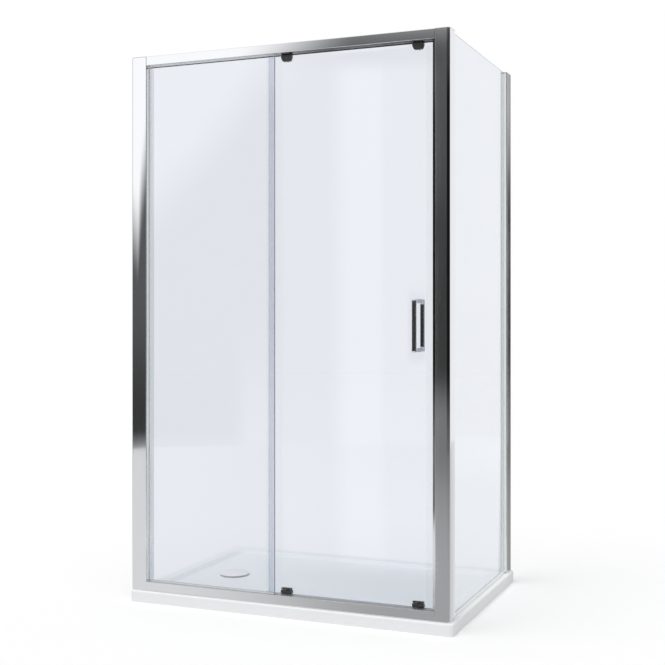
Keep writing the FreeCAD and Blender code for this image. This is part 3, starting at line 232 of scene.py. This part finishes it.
def speckled(tree, colour, roughness, grain, depth, **more):
    specks = tree.noise(even(grain), SPECK_DETAIL)
    smoothest, roughest = roughness * (1 - ROUGHNESS_SPREAD), roughness * (1 + ROUGHNESS_SPREAD)
    shader = tree.principled(
        Base_Color=colour, Roughness=tree.ranged(specks, smoothest, roughest),
        Normal=tree.bump(specks, SPECK_BUMP, depth), **more,
    )
    tree.surface(shader.outputs["BSDF"])


def moulded(name, dark, light, roughness, grain, depth, **more):
    material = bpy.data.materials.new(name)
    tree = Tree(material)
    cloud = tree.noise(CLOUD_SCALE, CLOUD_DETAIL)
    speckled(tree, tree.toned(cloud, dark, light), roughness, grain, depth, **more)
    return material


# Dark button on pale legs, moulded in one piece
def two_shot(name, level, dark, light, roughness, grain, depth):
    material = bpy.data.materials.new(name)
    tree = Tree(material)
    below = tree.math("LESS_THAN", tree.height(), level)
    speckled(tree, tree.toned(below, dark, light), roughness, grain, depth)
    return material


def metal_finishes():
    silver = (0.735, 0.745, 0.765)
    along_upright, along_rail = (700.0, 700.0, 3.0), (3.0, 700.0, 700.0)
    turned = (900.0, 60.0, 900.0)
    return {
        "upright": bright_metal("bright_upright", along_upright, silver, 0.05),
        "rail": bright_metal("bright_rail", along_rail, silver, 0.05, RAIL_TREAD),
        "chrome": bright_metal("polished_chrome", even(160.0), (0.72, 0.725, 0.74), 0.03),
        "steel": bright_metal("turned_steel", turned, (0.55, 0.555, 0.57), 0.22),
        "dark_steel": bright_metal("blackened_steel", turned, (0.10, 0.10, 0.105), 0.22),
    }


def clear_finishes():
    return {
        "glass": pane_glass(
            "clear_glass", tint=(0.817, 0.833, 0.885), lamp_tint=(0.98, 0.985, 0.99),
            edge_tint=(0.45, 0.85, 0.75), density=4.0,
        ),
        "door_strip": clear_strip("clear_door_strip", (0.95, 0.955, 0.965), (0.97, 0.975, 0.98)),
        "edge_strip": clear_strip("clear_edge_strip", (0.985, 0.985, 0.98), (0.98, 0.985, 0.99)),
    }


def moulded_finishes():
    return {
        "tray": moulded(
            "white_tray", (0.895, 0.903, 0.915), (0.915, 0.923, 0.935), roughness=0.42, grain=260.0,
            depth=0.0002, Specular_IOR_Level=0.15,
        ),
        "waste": moulded(
            "white_waste", even(0.89), even(0.91), roughness=0.32, grain=200.0, depth=0.0001,
            Specular_IOR_Level=0.2,
        ),
        "silver_cap": moulded(
            "silver_cap", even(0.52), even(0.56), roughness=0.34, grain=900.0, depth=0.0001, Metallic=0.4,
        ),
        "gasket": moulded("grey_gasket", even(0.69), even(0.73), roughness=0.40, grain=800.0, depth=0.0002),
        "pane_gasket": moulded(
            "pale_gasket", even(0.93), even(0.96), roughness=0.30, grain=800.0, depth=0.0001,
        ),
        "clear_seal": moulded(
            "clear_seal", even(0.97), even(0.99), roughness=0.16, grain=300.0, depth=0.0001,
            Specular_IOR_Level=0.8, Coat_Weight=0.5,
        ),
        "rubber": moulded("black_rubber", even(0.018), even(0.028), roughness=0.6, grain=700.0, depth=0.0002),
        "dark_plastic": moulded(
            "dark_plastic", even(0.030), even(0.042), roughness=0.34, grain=1100.0, depth=0.0002,
        ),
        "release": two_shot(
            "release_slider", BUTTON_FOOT, even(0.036), even(0.62), roughness=0.36, grain=1100.0,
            depth=0.0002,
        ),
        "nylon": moulded("white_nylon", even(0.74), even(0.78), roughness=0.42, grain=900.0, depth=0.0001),
    }


SLOT_FINISH = {
    "bright_profile": "upright", "glass": "glass", "tray_white": "tray", "waste_white": "waste",
    "chrome": "chrome", "silver_cap": "silver_cap", "grey_gasket": "gasket", "clear_seal": "clear_seal",
    "grey_seal": "door_strip", "black_rubber": "rubber", "dark_plastic": "dark_plastic",
    "white_nylon": "nylon", "steel": "steel",
}
# Pieces whose finish differs from that of their slot
NODE_FINISH = {
    "top_rail": "rail", "bottom_rail": "rail", "groove_infill_strips": "rail", "roller_bolts": "dark_steel",
    "fixed_glass_gaskets": "pane_gasket", "side_glass_gaskets": "pane_gasket", "waste_seal": "waste",
    "door_leading_seal": "edge_strip", "bottom_left_release": "release", "bottom_right_release": "release",
}


def dress_frame(finish):
    for part in frame["record"]["subparts"]:
        node = frame["nodes"][part["node"]]
        name = NODE_FINISH.get(part["node"]) or SLOT_FINISH[part["material_slot"]]
        node.data.materials.clear()
        node.data.materials.append(finish[name])


# Rows of small repeated shapes by geometry nodes, each turned into one plain mesh
class Row:
    SHARED_SIZES = {"Count": "Int", "Pitch": "Float", "First": "Vector", "Finish": "Material"}

    def __init__(self, name, **sizes):
        self.group = bpy.data.node_groups.new(name, "GeometryNodeTree")
        sockets = self.group.interface
        self.identifiers = {}
        for size, kind in {**sizes, **self.SHARED_SIZES}.items():
            socket = sockets.new_socket(size, in_out="INPUT", socket_type="NodeSocket" + kind)
            self.identifiers[size] = socket.identifier
        sockets.new_socket("Row", in_out="OUTPUT", socket_type="NodeSocketGeometry")
        self.size = self.add("NodeGroupInput").outputs

    def add(self, kind, **inputs):
        node = self.group.nodes.new(kind)
        for name, value in inputs.items():
            fill(self.group, node.inputs[name.replace("_", " ")], value)
        return node

    def math(self, operation, *values):
        node = self.add("ShaderNodeMath")
        node.operation = operation
        for socket, value in zip(node.inputs, values):
            fill(self.group, socket, value)
        return node.outputs[0]

    def vector(self, **parts):
        return self.add("ShaderNodeCombineXYZ", **parts).outputs[0]

    def swept(self, path, radius, sides):
        ring = self.add("GeometryNodeCurvePrimitiveCircle", Resolution=sides, Radius=radius)
        profile = ring.outputs["Curve"]
        tube = self.add("GeometryNodeCurveToMesh", Curve=path, Profile_Curve=profile, Fill_Caps=True)
        return tube.outputs["Mesh"]

    def repeated(self, item):
        size = self.size
        spots = self.add(
            "GeometryNodeMeshLine", Count=size["Count"], Start_Location=size["First"],
            Offset=self.vector(X=size["Pitch"]),
        )
        row = self.add("GeometryNodeInstanceOnPoints", Points=spots.outputs["Mesh"], Instance=item)
        row = self.add("GeometryNodeRealizeInstances", Geometry=row.outputs["Instances"])
        row = self.add("GeometryNodeSetShadeSmooth", Geometry=row.outputs["Geometry"])
        row = self.add("GeometryNodeSetMaterial", Geometry=row.outputs["Geometry"], Material=size["Finish"])
        self.add("NodeGroupOutput", Row=row.outputs["Geometry"])
        return self

    def piece(self, name, **values):
        piece = bpy.data.objects.new(name, bpy.data.meshes.new(name))
        bpy.context.scene.collection.objects.link(piece)
        modifier = piece.modifiers.new(name, "NODES")
        modifier.node_group = self.group
        for size, value in values.items():
            modifier[self.identifiers[size]] = value
        graph = bpy.context.evaluated_depsgraph_get()
        mesh = bpy.data.meshes.new_from_object(piece.evaluated_get(graph), depsgraph=graph)
        piece.modifiers.remove(modifier)
        piece.data = mesh
        return piece


# Grip ribs on the release buttons: pill-shaped bars, half sunk in the button's top
RIB_COUNT = 9
RIB_PITCH = 0.0036
RIB_LENGTH = 0.0088
RIB_WIDTH = 0.0014
RIB_RISE = 0.0007
RIB_RINGS = 13
RIB_SIDES = 14
RIB_END_POWER = 8.0
RIB_END_ROOM = 0.001
BUTTON_MIDDLE_Y = -0.35085


def rib_row():
    row = Row("grip_ribs", Length="Float", Width="Float", Rise="Float")
    half = row.math("MULTIPLY", row.size["Length"], 0.5)
    front = row.vector(Y=row.math("MULTIPLY", half, -1.0))
    spine = row.add("GeometryNodeCurvePrimitiveLine", Start=front, End=row.vector(Y=half)).outputs["Curve"]
    spine = row.add("GeometryNodeResampleCurve", Curve=spine, Count=RIB_RINGS).outputs["Curve"]
    share = row.add("GeometryNodeSplineParameter").outputs["Factor"]
    offset = row.math("ABSOLUTE", row.math("SUBTRACT", row.math("MULTIPLY", share, 2.0), 1.0))
    drop = row.math("POWER", offset, RIB_END_POWER)
    taper = row.math("SQRT", row.math("SUBTRACT", 1.0 + RIB_END_ROOM, drop))
    spine = row.add("GeometryNodeSetCurveRadius", Curve=spine, Radius=taper).outputs["Curve"]
    section = row.vector(X=row.size["Width"], Y=1.0, Z=row.math("MULTIPLY", row.size["Rise"], 2.0))
    bar = row.add("GeometryNodeTransform", Geometry=row.swept(spine, 0.5, RIB_SIDES), Scale=section)
    return row.repeated(bar.outputs["Geometry"])


def grip_ribs(side, row, finish):
    low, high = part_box(f"bottom_{side}_release")
    first = (low[0] + high[0]) / 2 - RIB_PITCH * (RIB_COUNT - 1) / 2
    piece = row.piece(
        f"bottom_{side}_grip_ribs", Count=RIB_COUNT, Pitch=RIB_PITCH, Length=RIB_LENGTH, Width=RIB_WIDTH,
        Rise=RIB_RISE, First=(first, BUTTON_MIDDLE_Y, high[2]), Finish=finish,
    )
    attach(piece, f"bottom_{side}_release")


# Release springs, two side by side below each button
SPRING_COUNT = 2
SPRING_RADIUS = 0.0029
SPRING_WIRE = 0.0004
SPRING_TURNS = 5.0
SPRING_STEPS = 40
WIRE_SIDES = 16


def spring_row():
    row = Row("release_springs", Radius="Float", Turns="Float", Length="Float", Wire="Float")
    radius = row.size["Radius"]
    coil = row.add(
        "GeometryNodeCurveSpiral", Resolution=SPRING_STEPS, Rotations=row.size["Turns"], Start_Radius=radius,
        End_Radius=radius, Height=row.size["Length"],
    )
    return row.repeated(row.swept(coil.outputs["Curve"], row.size["Wire"], WIRE_SIDES))


def release_springs(side, row, finish):
    low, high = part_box(f"bottom_{side}_springs")
    reach = SPRING_RADIUS + SPRING_WIRE
    height = high[2] - low[2]
    first = (low[0] + reach, (low[1] + high[1]) / 2, low[2] + SPRING_WIRE)
    piece = row.piece(
        f"bottom_{side}_coils", Count=SPRING_COUNT, Pitch=high[0] - low[0] - 2 * reach, Radius=SPRING_RADIUS,
        Turns=SPRING_TURNS, Length=height - 2 * SPRING_WIRE, Wire=SPRING_WIRE, First=first, Finish=finish,
    )
    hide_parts(f"bottom_{side}_springs")
    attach(piece, "door")
    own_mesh(piece)


# Painted reflections: glowing sheets that only mirrored rays see, their tones laid out by bearing from the
# camera. Planes of the frame's front and right-hand faces, place of the rear profile, and surroundings
FRAME_FACE_Y = -0.387
FRAME_SIDE_X = 0.588
REAR_PROFILE_Y = 0.37
SURROUND_RADIUS = 5.1
SURROUND_TOP = 3.6
WALL_ROWS = 60
CLOTH_ROWS = 50
CLOTH_COLUMNS = 1440
CLOTH_START = 0.3
CLOTH_HEIGHT = 0.0015
LOWERED_CLOTH = CLOTH_HEIGHT / 3
SIDE_ROWS = 40
SIDE_REACH = 11.0
# Directions in degrees in which the wall and the side cloth are divided: from, to, step
WALL_STEPS = (
    (0, 16, 1.0), (16, 28, 0.06), (28, 183, 1.0), (183, 225, 0.06), (225, 300, 1.0), (300, 360, 0.25),
)
SIDE_STEPS = (
    (8, 13.5, 0.5), (13.5, 14.6, 0.02), (14.6, 16.8, 0.2), (16.8, 17.2, 0.02), (17.2, 75, 1.0),
)
# A fade is where it starts and ends, in degrees of bearing or in metres, and a band is two fades
DOOR_PANEL = ((18.1, 18.6), (25.9, 26.5))
DOOR_PANEL_TOP = (2.85, 3.0)
BRIGHT_SIDE = (22.5, 23.9)
BRIGHT_BAND = (20.7, 21.1)
HANDLE_FLAG_ACROSS = ((18.5, 18.8), (19.4, 19.7))
HANDLE_FLAG_HEIGHT = ((0.60, 0.70), (1.12, 1.22))
FOOT_WALL_START = (26, 26.6)
LEFT_WALL_START = (27.6, 28.6)
INNER_WALL = ((8, 12), (42, 50))
SOFTBOX_FADE = (0.0, 0.75)
SOFTBOX_END = (38, 44)
SIDE_FLAG = ((13.60, 13.74), (14.38, 14.52))
BACK_WALL_CHANGE = (0.9, 1.2)
POST_FLOOR_START = (16.9, 17.1)
FLOOR_GLOW_START = (0.9, 1.3)
# Even tones, where 1 is white
DOOR_PANEL_TONE = 0.5
BRIGHT_TONE = 0.45
SOFTBOX_TONE = 1.28
SIDE_CARD_TONE = 1.05
POST_FLOOR_TONE = 0.75
FLOOR_GLOW = 0.8
# Graded tones: the first tone, then fades with the tone that each leads to
NEAR_WALL = (0.22, (0.2, 0.62, 0.05), (1.0, 3.0, 0.11))
FOOT_WALL = (0.75, (0.0, 1.1, 0.10))
LEFT_WALL = (0.38, (0.0, 0.11, 0.05), (0.2, 1.2, 0.12))
OUTER_WALL = (0.16, (0.0, 0.6, 0.010), (2.6, 2.9, 0.05))
SIDE_WALL = (0.16, (0.0, 0.8, 0.02), (1.6, 2.8, 0.40))
BACK_WALL_LOW = (0.07, (23, 29.5, 0.80))
BACK_WALL_HIGH = (0.36, (18, 30, 0.76))
REAR_FLOOR = (0.97, (2.5, 4.5, 1.05))
SIDE_FLOOR = (0.36, (0.2, 4.6, 0.15))
FRONT_FLOOR = (0.46, (0.8, 5.0, 0.22))
FRONT_FLOOR_TURNS = ((20, 32, 0.88), (35, 42, 0.20))
# Direction from the middle of the floor, in degrees, past which the wall stands beside the side pane
SIDE_WALL_START = 3
# Lower edge of the softbox: bearing in the front faces, height
SOFTBOX_EDGE = (
    (22.4, 2.98), (24.9, 2.70), (27.5, 2.38), (28.5, 2.15), (30.25, 1.81), (32.2, 1.49),
    (33.9, 1.19), (36.15, 1.32), (37.6, 1.42), (42.0, 1.70),
)


def smooth(low, high, value):
    share = min(1.0, max(0.0, (value - low) / (high - low)))
    return share * share * (3 - 2 * share)


def blend(a, b, share):
    return a + (b - a) * share


def band(value, rise, fall):
    return smooth(*rise, value) * (1 - smooth(*fall, value))


def graded(value, tone, *fades):
    for low, high, target in fades:
        tone = blend(tone, target, smooth(low, high, value))
    return tone


def along(points, value):
    value = min(max(value, points[0][0]), points[-1][0])
    for (x0, y0), (x1, y1) in zip(points, points[1:]):
        if value <= x1:
            return blend(y0, y1, (value - x0) / (x1 - x0))


# Bearing of a studio point in a front face, in a right-hand face and in a level face of the frame
def front_bearing(x, y):
    return math.degrees(math.atan2(CAMERA_AT.x - x, 2 * FRAME_FACE_Y - CAMERA_AT.y - y))


def side_bearing(x, y):
    return math.degrees(math.atan2(x - 2 * FRAME_SIDE_X + CAMERA_AT.x, y - CAMERA_AT.y))


def level_bearing(x, y):
    return math.degrees(math.atan2(CAMERA_AT.x - x, y - CAMERA_AT.y))


# Painted reflection of a pale panel in front of the door: even at the left, lighter at the right, with a
# bright band between
def door_glow(turn):
    bright = BRIGHT_TONE * (1 - smooth(*BRIGHT_SIDE, turn))
    return band(turn, *DOOR_PANEL) * (DOOR_PANEL_TONE + bright) + bright * smooth(*BRIGHT_BAND, turn)


# Dark flag in that panel: painted shade in the reflection, which keeps the handles dark
def handle_flag(turn, z):
    return band(turn, *HANDLE_FLAG_ACROSS) * band(z, *HANDLE_FLAG_HEIGHT)


def front_wall(x, y, z):
    turn = front_bearing(x, y)
    left = blend(graded(z, *FOOT_WALL), graded(z, *LEFT_WALL), smooth(*LEFT_WALL_START, turn))
    tone = blend(graded(z, *NEAR_WALL), left, smooth(*FOOT_WALL_START, turn))
    tone = blend(graded(z, *OUTER_WALL), tone, band(turn, *INNER_WALL))
    tone += door_glow(turn) * (1 - handle_flag(turn, z)) * (1 - smooth(*DOOR_PANEL_TOP, z))
    softbox = smooth(*SOFTBOX_FADE, z - along(SOFTBOX_EDGE, turn)) * (1 - smooth(*SOFTBOX_END, turn))
    return blend(tone, SOFTBOX_TONE, softbox)


# Share of bright card beside the side pane, with the dark flag for the rear profile cut out of it
def side_card(x, y):
    return 1 - band(side_bearing(x, y), *SIDE_FLAG)


def back_wall(x, y, z):
    if math.atan2(x, y) > math.radians(SIDE_WALL_START):
        return blend(graded(z, *SIDE_WALL), SIDE_CARD_TONE, side_card(x, y))
    turn = level_bearing(x, y)
    return blend(graded(turn, *BACK_WALL_LOW), graded(turn, *BACK_WALL_HIGH), smooth(*BACK_WALL_CHANGE, z))


def wall_reflection_tone(x, y, z):
    return back_wall(x, y, z) if y > 0 else front_wall(x, y, z)


def rear_floor(x, y):
    return graded(math.hypot(x, y), *REAR_FLOOR)


def side_floor(x, y, z):
    dark = graded(math.hypot(x - FRAME_SIDE_X, y - REAR_PROFILE_Y), *SIDE_FLOOR)
    bright = blend(rear_floor(x, y), POST_FLOOR_TONE, smooth(*POST_FLOOR_START, side_bearing(x, y)))
    return blend(dark, bright, side_card(x, y))


def floor_reflection_tone(x, y, z):
    if y > FRAME_FACE_Y:
        return rear_floor(x, y)
    reach = math.hypot(x, y)
    turn = front_bearing(x, y)
    tone = graded(turn, graded(reach, *FRONT_FLOOR), *FRONT_FLOOR_TURNS)
    return tone + FLOOR_GLOW * door_glow(turn) * smooth(*FLOOR_GLOW_START, reach)


# Share of rays that pass a sheet: those seen straight through glass, or all that have met a pane
def rays_let_through(tree, past_panes):
    path = tree.add("ShaderNodeLightPath")
    if past_panes:
        return tree.math("GREATER_THAN", path.outputs["Transmission Depth"], 0.5)
    straight = tree.math("LESS_THAN", path.outputs["Glossy Depth"], 0.5)
    return tree.math("MULTIPLY", path.outputs["Is Transmission Ray"], straight)


# A glowing sheet that only mirrored rays see: its tones are painted reflections in the metal and glass
def painted_reflection_sheet(name, points, faces, tones, past_panes=False):
    mesh = bpy.data.meshes.new(name)
    mesh.from_pydata(points, [], faces)
    layer = mesh.attributes.new("tone", "FLOAT", "POINT")
    layer.data.foreach_set("value", tones)
    sheet = bpy.data.objects.new(name, mesh)
    bpy.context.scene.collection.objects.link(sheet)
    material = bpy.data.materials.new(name)
    tree = Tree(material)
    tone = tree.add("ShaderNodeAttribute", attribute_name="tone")
    glow = tree.set(tree.add("ShaderNodeEmission"), Color=(1, 1, 1, 1), Strength=tone.outputs["Fac"])
    mix = tree.add("ShaderNodeMixShader")
    tree.link(rays_let_through(tree, past_panes), mix.inputs[0])
    tree.link(glow.outputs["Emission"], mix.inputs[1])
    tree.link(tree.add("ShaderNodeBsdfTransparent").outputs["BSDF"], mix.inputs[2])
    tree.surface(mix.outputs["Shader"])
    material.cycles.emission_sampling = "NONE"
    mesh.materials.append(material)
    sheet.visible_camera = False
    sheet.visible_diffuse = False
    sheet.visible_shadow = False


def grid(rows, columns, spot, tone, closed=True):
    points = [spot(i, j) for i in range(rows) for j in range(columns)]
    faces = []
    for i in range(rows - 1):
        for j in range(columns if closed else columns - 1):
            k = (j + 1) % columns
            faces.append((i * columns + j, i * columns + k, (i + 1) * columns + k, (i + 1) * columns + j))
    return points, faces, [tone(*p) for p in points]


def divided(steps):
    turns = []
    for first, last, step in steps:
        count = round((last - first) / step)
        turns += [math.radians(first + step * k) for k in range(count)]
    return turns


# Painted reflection of the walls round the object, with the softbox and flags in them
def painted_reflection_wall():
    turns = divided(WALL_STEPS)

    def spot(i, j):
        height = SURROUND_TOP * i / (WALL_ROWS - 1)
        return (SURROUND_RADIUS * math.sin(turns[j]), SURROUND_RADIUS * math.cos(turns[j]), height)

    painted_reflection_sheet("painted_reflection_wall", *grid(WALL_ROWS, len(turns), spot, wall_reflection_tone))


# Painted reflection of the floor all round the object, lowered where the side sheet lies over it
def painted_reflection_floor():
    def spot(i, j):
        turn = 2 * math.pi * j / CLOTH_COLUMNS
        reach = blend(CLOTH_START, SURROUND_RADIUS, i / (CLOTH_ROWS - 1))
        x, y = reach * math.sin(turn), reach * math.cos(turn)
        beside = x > FRAME_SIDE_X and y > FRAME_FACE_Y
        return (x, y, LOWERED_CLOTH if beside else CLOTH_HEIGHT)

    painted_reflection_sheet("painted_reflection_floor", *grid(CLOTH_ROWS, CLOTH_COLUMNS, spot, floor_reflection_tone))


# Painted reflection of the floor beside the side pane, laid out along the bearings that the right-hand faces
# mirror
def side_painted_reflection_floor():
    turns = divided(SIDE_STEPS)

    def spot(i, j):
        across, ahead = math.sin(turns[j]), math.cos(turns[j])
        start = max((FRAME_FACE_Y - CAMERA_AT.y) / ahead, (CAMERA_AT.x - FRAME_SIDE_X) / across)
        reach = blend(start, SIDE_REACH, i / (SIDE_ROWS - 1))
        return (2 * FRAME_SIDE_X - CAMERA_AT.x + reach * across, CAMERA_AT.y + reach * ahead, CLOTH_HEIGHT)

    painted_reflection_sheet("side_painted_reflection_floor", *grid(SIDE_ROWS, len(turns), spot, side_floor, closed=False), past_panes=True)


def seen_directly(tree):
    path = tree.add("ShaderNodeLightPath")
    either = tree.math("MAXIMUM", path.outputs["Is Camera Ray"], path.outputs["Is Glossy Ray"])
    return tree.math("MAXIMUM", either, path.outputs["Is Transmission Ray"])


# Floor, lifted to white where it is seen, and the world's light on the object
FLOOR_RADIUS = 14.0
FLOOR_SIDES = 96
FLOOR_COLOUR = even(0.86)
FLOOR_LIFT = 0.0923
AMBIENT = 0.45


def pale_floor():
    turns = [2 * math.pi * k / FLOOR_SIDES for k in range(FLOOR_SIDES)]
    points = [(FLOOR_RADIUS * math.cos(turn), FLOOR_RADIUS * math.sin(turn), 0.0) for turn in turns]
    mesh = bpy.data.meshes.new("pale_floor")
    mesh.from_pydata(points, [], [tuple(range(FLOOR_SIDES))])
    floor = bpy.data.objects.new("pale_floor", mesh)
    bpy.context.scene.collection.objects.link(floor)
    material = bpy.data.materials.new("pale_floor")
    tree = Tree(material)
    paint = tree.set(tree.add("ShaderNodeBsdfDiffuse"), Color=(*FLOOR_COLOUR, 1))
    strength = tree.math("MULTIPLY", seen_directly(tree), FLOOR_LIFT)
    lift = tree.set(tree.add("ShaderNodeEmission"), Color=(1, 1, 1, 1), Strength=strength)
    both = tree.add("ShaderNodeAddShader")
    tree.link(paint.outputs["BSDF"], both.inputs[0])
    tree.link(lift.outputs["Emission"], both.inputs[1])
    tree.surface(both.outputs["Shader"])
    mesh.materials.append(material)


def white_world(ambient):
    world = bpy.data.worlds.new("white_world")
    bpy.context.scene.world = world
    tree = Tree(world)
    strength = tree.ranged(seen_directly(tree), ambient, 1.0)
    sky = tree.set(tree.add("ShaderNodeBackground"), Color=(1, 1, 1, 1), Strength=strength)
    output = tree.add("ShaderNodeOutputWorld")
    tree.link(sky.outputs["Background"], output.inputs["Surface"])


# Wide soft light from a height and a bearing in degrees
def soft_light(name, height, turn, strength, spread):
    data = bpy.data.lights.new(name, "SUN")
    data.energy = strength
    data.angle = math.radians(spread)
    lamp = bpy.data.objects.new(name, data)
    lamp.rotation_euler = (math.radians(90 - height), 0, math.radians(turn))
    lamp.visible_glossy = False
    lamp.visible_transmission = False
    bpy.context.scene.collection.objects.link(lamp)


def studio():
    pale_floor()
    painted_reflection_wall()
    painted_reflection_floor()
    side_painted_reflection_floor()
    white_world(AMBIENT)
    soft_light("top_light", height=72, turn=-15, strength=2.0, spread=50)


photo_camera()
finish = {**metal_finishes(), **clear_finishes(), **moulded_finishes()}
dress_frame(finish)
ribs, springs = rib_row(), spring_row()
for side in ("left", "right"):
    grip_ribs(side, ribs, finish["dark_plastic"])
    release_springs(side, springs, finish["steel"])
studio()
bpy.context.scene.view_settings.view_transform = "Standard"
